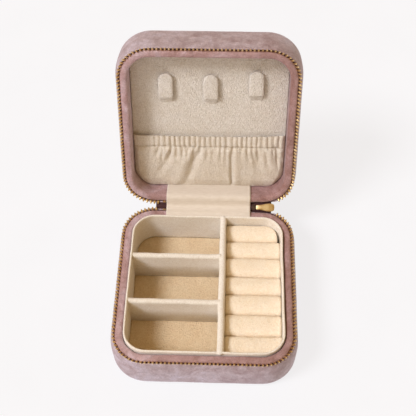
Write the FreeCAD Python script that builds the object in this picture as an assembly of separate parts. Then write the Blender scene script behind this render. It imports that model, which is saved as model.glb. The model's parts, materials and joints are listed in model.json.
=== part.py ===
import FreeCAD, Part
import math
import os

# A square zip-round travel jewelry case, standing open.
# Frame: millimetres, +Z up, +X to the right, +Y towards the hinge at the back.
# The origin is the middle of the base's underside. The lid is modelled shut, on
# top of the base, and then swung open about the hinge line.

V = FreeCAD.Vector
X_AXIS = V(1, 0, 0)

# ---- outside of the case -------------------------------------------------------
case_width = 100.0
case_depth = 100.0
base_height = 24.5
lid_height = 23.5
corner_radius = 19.3
edge_radius = 4.5
lid_open_angle = 110.0

# ---- wall build-up, from the outside in ----------------------------------------
cover_thickness = 0.9
shell_thickness = 1.15
glue_gap = 0.05
cover_edge_gap = 1.2
shell_edge_gap = 3.2
rim_width = 4.2
rim_edge_gap = 0.3
rim_fabric_thickness = 0.6
rim_fabric_depth = 9.0
rim_edge_radius = 1.9
rim_core_round_share = 0.45

# ---- zip -------------------------------------------------------------------------
tape_thickness = 0.5
tape_depth = 9.0
tape_edge_gap = 1.6
tooth_pitch = 2.1
tooth_width = 0.75
tooth_height = 2.1
tooth_thickness = 0.8
tooth_lean = 1.45
tooth_head_share = 0.6
tooth_clearance = 0.75
garage_side_gap = 0.3
garage_radius = 3.3
stop_length = 1.7
stop_half_width = 1.5
stop_thickness = 2.2
stop_tape_half = 1.1
stop_side_gap = 0.5
top_stop_thickness = 0.7
top_stop_drop = 0.35

# ---- zip slider and pull ---------------------------------------------------------
slider_length = 10.4
slider_tail_half = 1.5
slider_nose_half = 2.3
slider_nose_end_half = 1.6
slider_narrow_share = 0.45
slider_wide_share = 0.75
slider_plate = 0.7
slider_channel = 1.8
slider_travel = 1.5
slider_gap = 1.1
slider_post = 1.2
slider_post_setback = 1.7
bridge_setback = 4.7
bridge_length = 4.0
bridge_bar = 0.7
bridge_width = 1.4
bridge_opening_height = 1.7
pull_pin_radius = 0.5
pull_arm_width = 0.8
pull_side_gap = 0.3
pull_window = 2.75
pull_thickness = 1.0
pull_length = 20.0
pull_end_width = 5.2
pull_eye_radius = 1.1

# ---- tray in the base ------------------------------------------------------------
tray_gap = 0.3
tray_wall_thickness = 1.2
tray_rim_rise = 0.3
tray_rim_radius = 0.5
floor_thickness = 0.75
long_divider_x = 8.9
long_divider_thickness = 3.7
long_divider_drop = 0.1
cross_divider_thickness = 3.1
cross_divider_drop = 0.7
cross_divider_rear_y = 16.5
cross_divider_front_y = -12.2
divider_gap = 0.05
divider_round_share = 0.42

# ---- ring rolls ------------------------------------------------------------------
roll_count = 7
roll_gap = 0.2
roll_end_gap = 0.3
roll_drop = 4.2
roll_shoulder_radius = 3.8
roll_fabric_thickness = 0.6
bed_thickness = 1.0

# ---- inside of the lid -------------------------------------------------------------
lid_recess = 12.5
panel_thickness = 1.2
pad_thickness = 3.0
pocket_top_y = 8.8
pocket_stand_off = 3.0
pocket_fabric_thickness = 0.6
elastic_width = 5.5
elastic_thickness = 0.8
elastic_inset = 1.0
hook_positions = (-23.7, 0.9, 25.6)
hook_top_y = -29.8
hook_width = 8.2
hook_length = 16.2
hook_thickness = 1.5
hook_stand_off = 2.0
hook_foot_length = 4.5

# ---- flexible back -----------------------------------------------------------------
strap_width = 48.6
strap_thickness = 0.5
spine_thickness = 0.6

# ---- cutting shapes reach this much past what they cut ----------------------------------
margin = 1.0
same_height = 1e-6

# ---- places worked out from the sizes above ------------------------------------------
half_x = case_width / 2
half_y = case_depth / 2
mid = base_height
hinge_line = V(0, half_y, mid)
shell_inset = cover_thickness + glue_gap
tape_inset = shell_inset + shell_thickness + glue_gap
rim_inset = tape_inset + tape_thickness + glue_gap
tray_inset = rim_inset + rim_width + tray_gap
tray_inner_inset = tray_inset + tray_wall_thickness
tray_inner_x = half_x - tray_inner_inset
tray_inner_y = half_y - tray_inner_inset
shell_floor = shell_inset + shell_thickness
tray_bottom = shell_floor + glue_gap
core_bottom = shell_floor + edge_radius - shell_inset - shell_thickness
pocket_inset = rim_inset + rim_width + strap_thickness + 2 * glue_gap
floor_top = tray_bottom + floor_thickness
bed_top = floor_top + glue_gap + bed_thickness
panel_z = mid + lid_recess
divider_right = long_divider_x + long_divider_thickness / 2
divider_left = long_divider_x - long_divider_thickness / 2
slider_tail_x = strap_width / 2 + slider_gap + stop_length + slider_gap / 2
slider_nose_x = slider_tail_x + slider_length
tooth_start_x = slider_nose_x + slider_travel + tooth_clearance
pull_x = slider_tail_x + bridge_setback
pull_out = slider_channel / 2 + slider_plate + bridge_opening_height / 2


def outline(inset):
    """Flat face of the case's plan outline, moved in by inset, on z = 0."""
    hx, hy, r = half_x - inset, half_y - inset, corner_radius - inset
    cx, cy, k = hx - r, hy - r, r * math.sqrt(0.5)
    lines = [(V(-cx, -hy, 0), V(cx, -hy, 0)), (V(hx, -cy, 0), V(hx, cy, 0))]
    lines += [(V(cx, hy, 0), V(-cx, hy, 0)), (V(-hx, cy, 0), V(-hx, -cy, 0))]
    mids = [V(cx + k, -cy - k, 0), V(cx + k, cy + k, 0), V(-cx - k, cy + k, 0), V(-cx - k, -cy - k, 0)]
    edges = []
    for i in range(4):
        start, end = lines[i]
        edges.append(Part.makeLine(start, end))
        edges.append(Part.Arc(end, mids[i], lines[(i + 1) % 4][0]).toShape())
    return Part.Face(Part.Wire(edges))


def block(inset, bottom, top):
    """Solid of the plan outline, moved in by inset, between two heights."""
    solid = outline(inset).extrude(V(0, 0, top - bottom))
    solid.translate(V(0, 0, bottom))
    return solid


def box(x0, x1, y0, y1, z0, z1):
    return Part.makeBox(x1 - x0, y1 - y0, z1 - z0, V(x0, y0, z0))


def round_level(solid, level, radius):
    """Round every edge that lies wholly at one height."""
    edges = [e for e in solid.Edges if all(abs(v.Z - level) < same_height for v in e.Vertexes)]
    return solid.makeFillet(radius, edges)


def ring(outer_inset, inner_inset, bottom, top):
    return block(outer_inset, bottom, top).cut(block(inner_inset, bottom - margin, top + margin))


def mirror_up(solid):
    """The lid's twin of a base piece: reflected in the plane where the halves meet."""
    return solid.mirror(V(0, 0, mid), V(0, 0, 1))


def swing(solid, angle):
    """Turn a piece from the shut case to the open one about the hinge line."""
    turned = solid.copy()
    turned.rotate(hinge_line, X_AXIS, -angle)
    return turned


def save(name, solid):
    solid.exportStep(os.path.join("parts", name + ".step"))


def save_lid(name, solid):
    save(name, swing(solid, lid_open_angle))


def save_zip_end(name, solid):
    save(name, swing(solid, lid_open_angle / 2))


def garage():
    """Room round the hinge line, where the slider parks beside the strap."""
    left = strap_width / 2 + garage_side_gap
    length = tooth_start_x + tooth_width - left
    return Part.makeCylinder(garage_radius, length, V(left, half_y, mid), X_AXIS)


# ---- outer covers and shells -----------------------------------------------------
def cup(inset, thickness, floor, height, edge):
    """Open-topped cup with a soft lower edge, standing on floor."""
    outer = round_level(block(inset, floor, height), floor, edge)
    cavity = block(inset + thickness, floor + thickness, height + margin)
    return outer.cut(round_level(cavity, floor + thickness, edge - thickness))


def half_cover(height):
    return cup(0, cover_thickness, 0, height - cover_edge_gap, edge_radius).cut(garage_at(height))


def half_shell(height):
    edge = edge_radius - shell_inset
    shell = cup(shell_inset, shell_thickness, shell_inset, height - shell_edge_gap, edge)
    return shell.cut(garage_at(height))


def garage_at(height):
    room = garage()
    room.translate(V(0, 0, height - mid))
    return room


def flip_to_lid(solid):
    """A cup made standing on z = 0 becomes the lid's, upside down on the base."""
    flipped = solid.mirror(V(0, 0, 0), V(0, 0, 1))
    flipped.translate(V(0, 0, mid + lid_height))
    return flipped


# ---- rim: a stiff core with fabric wrapped over its edge ----------------------------
def rim_core(bottom):
    inset = rim_inset + rim_fabric_thickness + glue_gap
    width = rim_width - 2 * (rim_fabric_thickness + glue_gap)
    top = mid - rim_edge_gap - rim_fabric_thickness - glue_gap
    return round_level(ring(inset, inset + width, bottom, top), top, width * rim_core_round_share)


def rim_fabric(inner_bottom):
    """Fabric over the rim: short on the hidden side, down to inner_bottom inside."""
    top = mid - rim_edge_gap
    wrap = round_level(ring(rim_inset, rim_inset + rim_width, inner_bottom, top), top, rim_edge_radius)
    room_inset = rim_inset + rim_fabric_thickness
    room_width = rim_width - 2 * rim_fabric_thickness
    room_top = top - rim_fabric_thickness
    room = ring(room_inset, room_inset + room_width, inner_bottom - margin, room_top)
    wrap = wrap.cut(round_level(room, room_top, room_width * rim_core_round_share))
    hidden_bottom = mid - rim_fabric_depth
    if hidden_bottom > inner_bottom:
        reach = rim_fabric_thickness / 2
        outside, inside = rim_inset - reach, room_inset + reach
        wrap = wrap.cut(ring(outside, inside, inner_bottom - margin, hidden_bottom))
    return wrap


# ---- zip ------------------------------------------------------------------------------
def zip_tape():
    """Half of the zip's tape: a band round the case, open at the strap."""
    top = mid - tape_edge_gap
    band = ring(tape_inset, tape_inset + tape_thickness, mid - tape_depth, top)
    opening = strap_width / 2 + garage_side_gap
    gap = box(-opening, opening, 0, half_y, mid - tape_depth - margin, mid + margin)
    return band.cut(gap).cut(garage())


def chain_place(distance):
    """Point on the chain's line and its outward direction, distance along it.

    The line starts at the middle of the back and runs by the right side.
    """
    inset = tape_inset + tape_thickness / 2
    hx, hy, r = half_x - inset, half_y - inset, corner_radius - inset
    cx, cy, arc = hx - r, hy - r, r * math.pi / 2
    runs = [(cx, arc), (2 * cy, arc), (2 * cx, arc), (2 * cy, arc), (cx, 0)]
    corners = [(cx, cy), (cx, -cy), (-cx, -cy), (-cx, cy)]
    starts = [V(0, hy, 0), V(hx, cy, 0), V(cx, -hy, 0), V(-hx, -cy, 0), V(-cx, hy, 0)]
    for i, (straight, bend) in enumerate(runs):
        heading = -math.pi / 2 * i
        if distance <= straight:
            out = V(-math.sin(heading), math.cos(heading), 0)
            along = V(math.cos(heading), math.sin(heading), 0)
            return starts[i] + along * distance, out
        distance -= straight
        if distance <= bend:
            angle = math.pi / 2 + heading - distance / r
            out = V(math.cos(angle), math.sin(angle), 0)
            return V(corners[i][0], corners[i][1], 0) + out * r, out
        distance -= bend
    return None, None


def tooth(point, out):
    """One zip tooth: a slab on the tape's edge that leans outwards."""
    along = V(out.y, -out.x, 0)
    foot = mid - tape_edge_gap + glue_gap
    side = tooth_thickness / 2
    rise = tooth_thickness * tooth_lean / math.hypot(tooth_lean, tooth_height)
    profile = [(-side, 0), (side, 0), (side + tooth_lean, tooth_height - rise)]
    profile.append((tooth_lean - side * tooth_head_share, tooth_height))
    corners = [point + out * a + V(0, 0, foot + b) - along * (tooth_width / 2) for a, b in profile]
    corners.append(corners[0])
    return Part.Face(Part.makePolygon(corners)).extrude(along * tooth_width)


def zip_teeth(shift):
    """Teeth of one half of the zip; shift sets how far along the first one stands."""
    teeth = []
    distance = shift
    last_x = -(strap_width / 2 + stop_side_gap + stop_length + tooth_width)
    while True:
        point, out = chain_place(distance)
        distance += tooth_pitch
        if point is None:
            break
        at_back = point.y > half_y - corner_radius
        if at_back and last_x < point.x < tooth_start_x:
            continue
        teeth.append(tooth(point, out))
    return Part.makeCompound(teeth)


def top_stop():
    """Small crimp on the tape's edge at the far end of the zip."""
    right = -strap_width / 2 - stop_side_gap
    y = half_y - tape_inset - tape_thickness / 2
    half = top_stop_thickness / 2
    foot = mid - tape_edge_gap + glue_gap
    return box(right - stop_length, right, y - half, y + half, foot, mid - top_stop_drop)


def end_stop():
    """Clamp that holds the two tapes together where the zip begins."""
    x0 = strap_width / 2 + slider_gap
    half = stop_thickness / 2
    y0, y1 = half_y - half, half_y + half
    clamp = box(x0, x0 + stop_length, y0, y1, mid - stop_half_width, mid + stop_half_width)
    slot = tape_thickness / 2 + glue_gap
    reach = stop_tape_half + glue_gap
    left, right = x0 - margin, x0 + stop_length + margin
    return clamp.cut(box(left, right, half_y - slot, half_y + slot, mid - reach, mid + reach))


def end_tape():
    """The stretch of tape that the clamp holds, running into the slider."""
    x0 = strap_width / 2 + stop_side_gap
    x1 = slider_nose_x - slider_post_setback - slider_post / 2 - tooth_clearance
    half = tape_thickness / 2
    return box(x0, x1, half_y - half, half_y + half, mid - stop_tape_half, mid + stop_tape_half)


# ---- slider and pull ---------------------------------------------------------------------
def slider_plate_at(y0):
    """Tapered plate: narrow over the joined chain, wide where the chains come in."""
    tail, nose, length = slider_tail_half, slider_nose_half, slider_length
    steps = [(0, tail), (slider_narrow_share, tail), (slider_wide_share, nose), (1, slider_nose_end_half)]
    points = [(slider_tail_x + length * share, -half) for share, half in steps]
    points += [(x, -z) for x, z in reversed(points)]
    corners = [V(x, y0, mid + z) for x, z in points]
    corners.append(corners[0])
    return Part.Face(Part.makePolygon(corners)).extrude(V(0, slider_plate, 0))


def slider_body():
    inner = half_y - slider_channel / 2
    outer = half_y + slider_channel / 2
    post_x = slider_nose_x - slider_post_setback
    post = Part.makeCylinder(slider_post / 2, slider_channel, V(post_x, inner, mid), V(0, 1, 0))
    return slider_plate_at(inner - slider_plate).fuse(slider_plate_at(outer)).fuse(post)


def slider_bridge():
    """Arch on the slider's outer plate that the pull hangs from."""
    y0 = half_y + slider_channel / 2 + slider_plate + glue_gap
    top = y0 + bridge_opening_height - glue_gap + bridge_bar
    half = bridge_width / 2
    reach = bridge_length / 2
    arch = box(pull_x - reach, pull_x + reach, y0, top, mid - half, mid + half)
    leg = reach - bridge_bar
    low, high = mid - half - margin, mid + half + margin
    return arch.cut(box(pull_x - leg, pull_x + leg, y0 - margin, top - bridge_bar, low, high))


def zip_pull():
    """Flat pull with a pin through the arch, pointing straight out from the case."""
    y0 = half_y + pull_out
    inner = bridge_width / 2 + pull_side_gap
    outer = inner + pull_arm_width
    pin = Part.makeCylinder(pull_pin_radius, 2 * outer, V(pull_x, y0, mid - outer), V(0, 0, 1))
    half = pull_thickness / 2
    end = pull_end_width / 2
    points = [(0, -outer), (pull_window, -outer), (pull_length - end, -end), (pull_length, 0)]
    right_side = [V(pull_x - half, y0 + a, mid + b) for a, b in points[:3]]
    left_side = [V(pull_x - half, y0 + a, mid - b) for a, b in reversed(points[:3])]
    tip = V(pull_x - half, y0 + pull_length, mid)
    edges = [Part.makeLine(right_side[i], right_side[i + 1]) for i in range(2)]
    edges.append(Part.Arc(right_side[2], tip, left_side[0]).toShape())
    edges += [Part.makeLine(left_side[i], left_side[i + 1]) for i in range(2)]
    edges.append(Part.makeLine(left_side[2], right_side[0]))
    plate = Part.Face(Part.Wire(edges)).extrude(V(pull_thickness, 0, 0))
    left, right = pull_x - half - margin, pull_x + half + margin
    window = box(left, right, y0 - margin, y0 + pull_window, mid - inner, mid + inner)
    eye_y = y0 + pull_length - end
    eye = Part.makeCylinder(pull_eye_radius, right - left, V(left, eye_y, mid), X_AXIS)
    return plate.cut(window).cut(eye).fuse(pin)


# ---- tray, dividers and ring rolls ------------------------------------------------------
def tray_wall():
    top = mid + tray_rim_rise
    return round_level(ring(tray_inset, tray_inner_inset, tray_bottom, top), top, tray_rim_radius)


def tray_floor():
    return block(tray_inner_inset + glue_gap, tray_bottom, floor_top)


def divider(x0, x1, y0, y1, top):
    """Padded divider board with a rounded top, standing on the tray's floor."""
    wall = box(x0, x1, y0, y1, floor_top + glue_gap, top)
    thickness = min(x1 - x0, y1 - y0)
    long_edges = []
    for edge in wall.Edges:
        at_top = all(abs(v.Z - top) < same_height for v in edge.Vertexes)
        if at_top and edge.Length > thickness + same_height:
            long_edges.append(edge)
    return wall.makeFillet(thickness * divider_round_share, long_edges)


def long_divider():
    reach = tray_inner_y - divider_gap
    return divider(divider_left, divider_right, -reach, reach, mid - long_divider_drop)


def cross_divider(y):
    half = cross_divider_thickness / 2
    left = -tray_inner_x + divider_gap
    right = divider_left - divider_gap
    return divider(left, right, y - half, y + half, mid - cross_divider_drop)


def roll_solid(number, skin):
    """Ring roll with rounded shoulders, counted from the back, taken in by skin all round."""
    pitch = 2 * tray_inner_y / roll_count
    centre = tray_inner_y - number * pitch + pitch / 2
    half = (pitch - roll_gap) / 2 - skin
    left = divider_right + roll_end_gap + skin
    right = tray_inner_x - roll_end_gap - skin
    foot = bed_top + glue_gap
    top = mid - roll_drop - skin
    bar = box(left, right, centre - half, centre + half, foot, top)
    shoulders = []
    for edge in bar.Edges:
        at_top = all(abs(v.Z - top) < same_height for v in edge.Vertexes)
        along_x = abs(edge.Vertexes[0].Y - edge.Vertexes[-1].Y) < same_height
        if at_top and along_x:
            shoulders.append(edge)
    limit = block(tray_inner_inset + roll_end_gap + skin, foot, top + margin)
    return bar.makeFillet(roll_shoulder_radius - skin, shoulders).common(limit)


def ring_bed():
    plate = block(tray_inner_inset + glue_gap, floor_top + glue_gap, bed_top)
    left = divider_right + divider_gap
    return plate.common(box(left, half_x, -half_y, half_y, 0, mid))


# ---- inside of the lid ----------------------------------------------------------------------
def lid_panel():
    return block(rim_inset + rim_width + glue_gap, panel_z, panel_z + panel_thickness)


def lid_pad():
    bottom = panel_z + panel_thickness + glue_gap
    return block(rim_inset + rim_width + glue_gap, bottom, bottom + pad_thickness)


def pocket_region(skin, near, far):
    """Lower part of the panel, from the pocket's top edge round the two corners."""
    whole = block(pocket_inset + skin, near, far)
    return whole.common(box(-half_x, half_x, pocket_top_y, half_y, near, far))


def pocket():
    """Pocket cloth: a front standing off the panel, closed round three sides."""
    skin = pocket_fabric_thickness
    front = panel_z - glue_gap - pocket_stand_off
    outside = pocket_region(0, front, panel_z - glue_gap)
    return outside.cut(pocket_region(skin, front + skin, panel_z + margin))


def pocket_elastic():
    """Elastic band along the top edge, on the hidden side of the pocket cloth."""
    z0 = panel_z - pocket_stand_off + pocket_fabric_thickness
    reach = half_x - pocket_inset - pocket_fabric_thickness - glue_gap
    y0 = pocket_top_y + elastic_inset
    return box(-reach, reach, y0, y0 + elastic_width, z0, z0 + elastic_thickness)


def necklace_hook(x):
    """Tab fixed at its lower end and open at the top, for a chain to hang behind."""
    half = hook_width / 2
    foot_y = hook_top_y + hook_length
    front = panel_z - hook_stand_off - hook_thickness
    back = panel_z - hook_stand_off
    tongue = box(x - half, x + half, hook_top_y + half, foot_y, front, back)
    crown = Part.makeCylinder(half, hook_thickness, V(x, hook_top_y + half, front))
    foot = box(x - half, x + half, foot_y - hook_foot_length, foot_y, back, panel_z - glue_gap)
    return tongue.fuse(crown).fuse(foot).removeSplitter()


# ---- flexible back: outer spine and inner strap ----------------------------------------------
def extrude_profile(points, half_width):
    """Solid with a profile in the Y-Z plane, running from side to side."""
    corners = [V(-half_width, y, z) for y, z in points]
    corners.append(corners[0])
    return Part.Face(Part.makePolygon(corners)).extrude(V(2 * half_width, 0, 0))


def turned(y, z, angle):
    """A place beside the hinge line, y and z from it, turned open by angle degrees."""
    a = math.radians(angle)
    return (half_y + y * math.cos(a) + z * math.sin(a), mid - y * math.sin(a) + z * math.cos(a))


def spine():
    """Outer fabric that bends at the hinge line between the two covers."""
    edge = cover_edge_gap - glue_gap
    skin = spine_thickness
    fold = skin / math.cos(math.radians(lid_open_angle / 2))
    points = [turned(0, -edge, 0), turned(0, 0, 0), turned(0, edge, lid_open_angle)]
    points += [turned(-skin, edge, lid_open_angle), turned(-fold, 0, lid_open_angle / 2)]
    points.append(turned(-skin, -edge, 0))
    return extrude_profile(points, strap_width / 2)


def strap():
    """Inner strap that lies over both rims and stops the lid at its open angle."""
    skin = strap_thickness
    near = rim_edge_gap - glue_gap
    back = -rim_inset
    front = -(rim_inset + rim_width)
    wall = front - glue_gap
    deep = lid_recess - glue_gap
    points = [turned(front, -near, 0), turned(back, -near, 0), turned(back, near, lid_open_angle)]
    points += [turned(wall, near, lid_open_angle), turned(wall, deep, lid_open_angle)]
    points += [turned(wall - skin, deep, lid_open_angle), turned(wall - skin, near - skin, lid_open_angle)]
    points += [turned(back, near - skin, lid_open_angle), turned(back, -near + skin, 0)]
    points.append(turned(front, -near + skin, 0))
    return extrude_profile(points, strap_width / 2)


os.makedirs("parts", exist_ok=True)

# Base: covered shell, rim, half of the zip, and the lined tray.
save("base_velvet_cover", half_cover(base_height))
save("base_shell", half_shell(base_height))
save("base_rim_core", rim_core(core_bottom))
save("base_rim_velvet", rim_fabric(mid - rim_fabric_depth))
save("base_zip_tape", zip_tape())
save("base_zip_teeth", zip_teeth(0))
save("base_zip_top_stop", top_stop())
save("tray_wall", tray_wall())
save("tray_floor", tray_floor())
save("long_divider", long_divider())
save("cross_divider_rear", cross_divider(cross_divider_rear_y))
save("cross_divider_front", cross_divider(cross_divider_front_y))
save("ring_bed_board", ring_bed())
for number in range(1, roll_count + 1):
    core = roll_solid(number, roll_fabric_thickness + glue_gap)
    room = roll_solid(number, roll_fabric_thickness)
    save("ring_foam_%d" % number, core)
    save("ring_roll_%d" % number, roll_solid(number, 0).cut(room))

# Lid: the same build-up turned over, with its panel, pocket and hooks.
save_lid("lid_velvet_cover", flip_to_lid(half_cover(lid_height)))
save_lid("lid_shell", flip_to_lid(half_shell(lid_height)))
pad_back = lid_recess + panel_thickness + pad_thickness
save_lid("lid_rim_core", mirror_up(rim_core(mid - pad_back)))
save_lid("lid_rim_velvet", mirror_up(rim_fabric(mid - lid_recess)))
save_lid("lid_zip_tape", mirror_up(zip_tape()))
save_lid("lid_zip_teeth", mirror_up(zip_teeth(tooth_pitch / 2)))
save_lid("lid_zip_top_stop", mirror_up(top_stop()))
save_lid("lid_panel", lid_panel())
save_lid("lid_foam_pad", lid_pad())
save_lid("pocket", pocket())
save_lid("pocket_elastic", pocket_elastic())
for number, x in enumerate(hook_positions, 1):
    save_lid("necklace_hook_%d" % number, necklace_hook(x))

# Flexible back and the hardware at the zip's end, which turns half as far as the lid.
save("spine_velvet", spine())
save("hinge_strap", strap())
save_zip_end("zip_end_stop", end_stop())
save_zip_end("zip_end_tape", end_tape())
save_zip_end("zip_slider", slider_body())
save_zip_end("zip_slider_bridge", slider_bridge())
save_zip_end("zip_pull", zip_pull())
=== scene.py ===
import json
import math

import bmesh
import bpy
import numpy as np
from mathutils import Matrix, Vector, noise


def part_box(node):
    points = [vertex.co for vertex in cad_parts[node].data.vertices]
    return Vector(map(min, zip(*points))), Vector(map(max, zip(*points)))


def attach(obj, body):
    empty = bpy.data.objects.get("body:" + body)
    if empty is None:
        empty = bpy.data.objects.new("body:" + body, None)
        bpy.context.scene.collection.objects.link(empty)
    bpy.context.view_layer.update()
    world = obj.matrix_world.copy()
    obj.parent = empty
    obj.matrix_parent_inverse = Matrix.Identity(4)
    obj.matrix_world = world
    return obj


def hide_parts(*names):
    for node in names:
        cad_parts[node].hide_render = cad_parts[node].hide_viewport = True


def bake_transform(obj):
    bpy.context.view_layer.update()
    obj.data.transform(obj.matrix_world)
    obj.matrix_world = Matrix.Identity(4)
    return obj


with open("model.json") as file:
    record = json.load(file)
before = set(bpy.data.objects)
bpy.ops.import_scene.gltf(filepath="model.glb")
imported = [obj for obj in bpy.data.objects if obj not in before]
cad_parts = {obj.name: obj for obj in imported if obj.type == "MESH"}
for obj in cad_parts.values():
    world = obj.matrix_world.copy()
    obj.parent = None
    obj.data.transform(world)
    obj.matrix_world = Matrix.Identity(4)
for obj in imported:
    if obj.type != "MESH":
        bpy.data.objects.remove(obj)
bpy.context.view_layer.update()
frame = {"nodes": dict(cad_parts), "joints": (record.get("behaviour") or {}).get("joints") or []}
MM = 0.001
rng = np.random.default_rng(11)
noise.seed_set(11)

# ---- outer covers ----------------------------------------
# Two shallow halves meet at the zip and turn about a flexible back. Each is wrapped in
# dusty pink short-pile velvet, glued over a pressed shell and turned over the shell's
# edge beside the zip, with a notch at the back where the slider parks.
lid_joint = next(j for j in frame["joints"] if j["name"] == "lid_hinge")
hinge_y, zip_z = lid_joint["pos_m"][1], lid_joint["pos_m"][2]
open_angle = math.radians(lid_joint["range_deg"][1])
case_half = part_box("base_velvet_cover")[1].x
corner_radius = 19.3 * MM


def in_base(points):
    """Points given as x, y and depth below the zip's plane, set down in the base."""
    placed = np.array(points, float)
    placed[..., 2] = zip_z - placed[..., 2]
    return placed


def in_lid(points):
    """Points given as x, y and depth above the zip's plane, turned open with the lid."""
    shut = np.array(points, float)
    y, z = shut[..., 1] - hinge_y, shut[..., 2]
    placed = shut.copy()
    placed[..., 1] = hinge_y + y * math.cos(open_angle) + z * math.sin(open_angle)
    placed[..., 2] = zip_z - y * math.sin(open_angle) + z * math.cos(open_angle)
    return placed


def at_zip_end(points):
    """Points given as x, across the zip and out from the case, at the zip's parked end."""
    local = np.array(points, float)
    across, out = local[..., 1], local[..., 2]
    half = open_angle / 2
    placed = local.copy()
    placed[..., 1] = hinge_y + across * math.sin(half) + out * math.cos(half)
    placed[..., 2] = zip_z + across * math.cos(half) - out * math.sin(half)
    return placed


def outline(inset, straight=16, bend=14):
    """Plan outline of the case moved in by inset, from the back's middle clockwise."""
    side, radius = case_half - inset, corner_radius - inset
    centre = side - radius
    run = np.linspace(-centre, centre, straight, endpoint=False)
    points = []
    for turn in range(4):
        heading = -math.pi / 2 * turn
        along = np.array([math.cos(heading), math.sin(heading)])
        out = np.array([-math.sin(heading), math.cos(heading)])
        points += [along * s + out * side for s in run]
        corner = along * centre + out * centre
        for step in range(bend):
            angle = heading + math.pi / 2 - math.pi / 2 * step / bend
            points.append(corner + radius * np.array([math.cos(angle), math.sin(angle)]))
    return np.roll(np.array(points), -(straight // 2), axis=0)


def grid_faces(rows, columns, wrap_rows=False, wrap_columns=False):
    faces = []
    for r in range(rows if wrap_rows else rows - 1):
        for c in range(columns if wrap_columns else columns - 1):
            below, beside = (r + 1) % rows, (c + 1) % columns
            here, under = r * columns, below * columns
            faces.append((here + c, here + beside, under + beside, under + c))
    return faces


def make_piece(name, points, faces, smooth=True):
    """Mesh object with its doubles merged and its faces turned outwards."""
    mesh = bpy.data.meshes.new(name)
    mesh.from_pydata([tuple(p) for p in np.reshape(points, (-1, 3))], [], faces)
    edit = bmesh.new()
    edit.from_mesh(mesh)
    bmesh.ops.remove_doubles(edit, verts=edit.verts, dist=2e-6)
    bmesh.ops.dissolve_degenerate(edit, edges=edit.edges, dist=1e-7)
    bmesh.ops.recalc_face_normals(edit, faces=edit.faces)
    edit.to_mesh(mesh)
    edit.free()
    for polygon in mesh.polygons:
        polygon.use_smooth = smooth
    piece = bpy.data.objects.new(name, mesh)
    bpy.context.scene.collection.objects.link(piece)
    return piece


def swept(profile, place):
    """Rings of a profile, given as inset, depth and share of full size, swept round the case."""
    rings = []
    for inset, depth, share in profile:
        flat = outline(inset) * share
        rings.append(np.column_stack([flat, np.full(len(flat), depth)]))
    return place(np.array(rings))


def ring_piece(name, flat, place):
    """Closed skin over swept rings that end where they began."""
    return make_piece(name, place(flat), grid_faces(*flat.shape[:2], True, True))


def ripple(points, amount, size, seed):
    """Push points about by smooth noise: amount in metres, size of a swell in metres."""
    moved = np.array(points, float)
    shape = moved.shape
    flat = moved.reshape(-1, 3)
    shift = Vector((seed * 7.3, seed * 3.1, seed * 1.7))
    for i, p in enumerate(flat):
        flat[i] += amount * np.array(noise.noise_vector(Vector(p) / size + shift))
    return flat.reshape(shape)


def subdivide(piece):
    modifier = piece.modifiers.new("smooth", "SUBSURF")
    modifier.levels = 1
    modifier.render_levels = 1


def arc(centre, radius, start, end, steps):
    """Points of an arc as inset and depth; angle 0 faces in, 90 faces away from the case."""
    angles = np.radians(np.linspace(start, end, steps))
    return [(centre[0] + radius * math.cos(a), centre[1] - radius * math.sin(a), 1.0) for a in angles]


def set_inputs(node, settings):
    for label, value in settings.items():
        node.inputs[label.replace("_", " ")].default_value = value


def shader(name, roughness, **settings):
    """New material and its Principled shader; uniform settings go straight on the shader."""
    material = bpy.data.materials.new(name)
    material.use_nodes = True
    surface = material.node_tree.nodes["Principled BSDF"]
    surface.inputs["Roughness"].default_value = roughness
    set_inputs(surface, settings)
    return material, material.node_tree, surface


def add_node(tree, kind, **inputs):
    made = tree.nodes.new("ShaderNode" + kind)
    set_inputs(made, inputs)
    return made


def calculate(tree, operation, *values):
    """Math node; each value is a socket or a number."""
    made = add_node(tree, "Math")
    made.operation = operation
    for socket, value in zip(made.inputs, values):
        if isinstance(value, float):
            socket.default_value = value
        else:
            tree.links.new(value, socket)
    return made.outputs[0]


def cloud(tree, place, size, detail=3.0, distortion=0.0, roughness=0.5):
    """Noise whose features are about size metres across; returns its value socket."""
    made = add_node(tree, "TexNoise", Scale=1.0 / size, Detail=detail, Distortion=distortion)
    made.inputs["Roughness"].default_value = roughness
    tree.links.new(place, made.inputs["Vector"])
    return made.outputs["Fac"]


def ramp(tree, value, stops):
    """Colours along a value; stops are pairs of position and colour."""
    made = add_node(tree, "ValToRGB")
    while len(made.color_ramp.elements) < len(stops):
        made.color_ramp.elements.new(0.5)
    for element, (position, colour) in zip(made.color_ramp.elements, stops):
        element.position = position
        element.color = (*colour, 1.0)
    tree.links.new(value, made.inputs["Fac"])
    return made.outputs["Color"]


def overlay(tree, factor, first, second):
    """One colour lightened and darkened by another."""
    made = add_node(tree, "Mix")
    made.data_type = "RGBA"
    made.blend_type = "OVERLAY"
    share, under, over = [s for s in made.inputs if s.enabled]
    share.default_value = factor
    tree.links.new(first, under)
    tree.links.new(second, over)
    return [s for s in made.outputs if s.enabled][0]


def bump(tree, surface, heights):
    """Chain bumps on to a shader; heights are value socket, strength and distance."""
    last = None
    for value, strength, distance in heights:
        made = add_node(tree, "Bump", Strength=strength, Distance=distance)
        tree.links.new(value, made.inputs["Height"])
        if last:
            tree.links.new(last, made.inputs["Normal"])
        last = made.outputs["Normal"]
    tree.links.new(last, surface.inputs["Normal"])


def object_place(tree):
    return add_node(tree, "TexCoord").outputs["Object"]


def paint(tree, surface, colour):
    tree.links.new(colour, surface.inputs["Base Color"])


def dress(node, material):
    """Give a CAD node its finish."""
    slots = frame["nodes"][node].data.materials
    slots.clear()
    slots.append(material)


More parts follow.
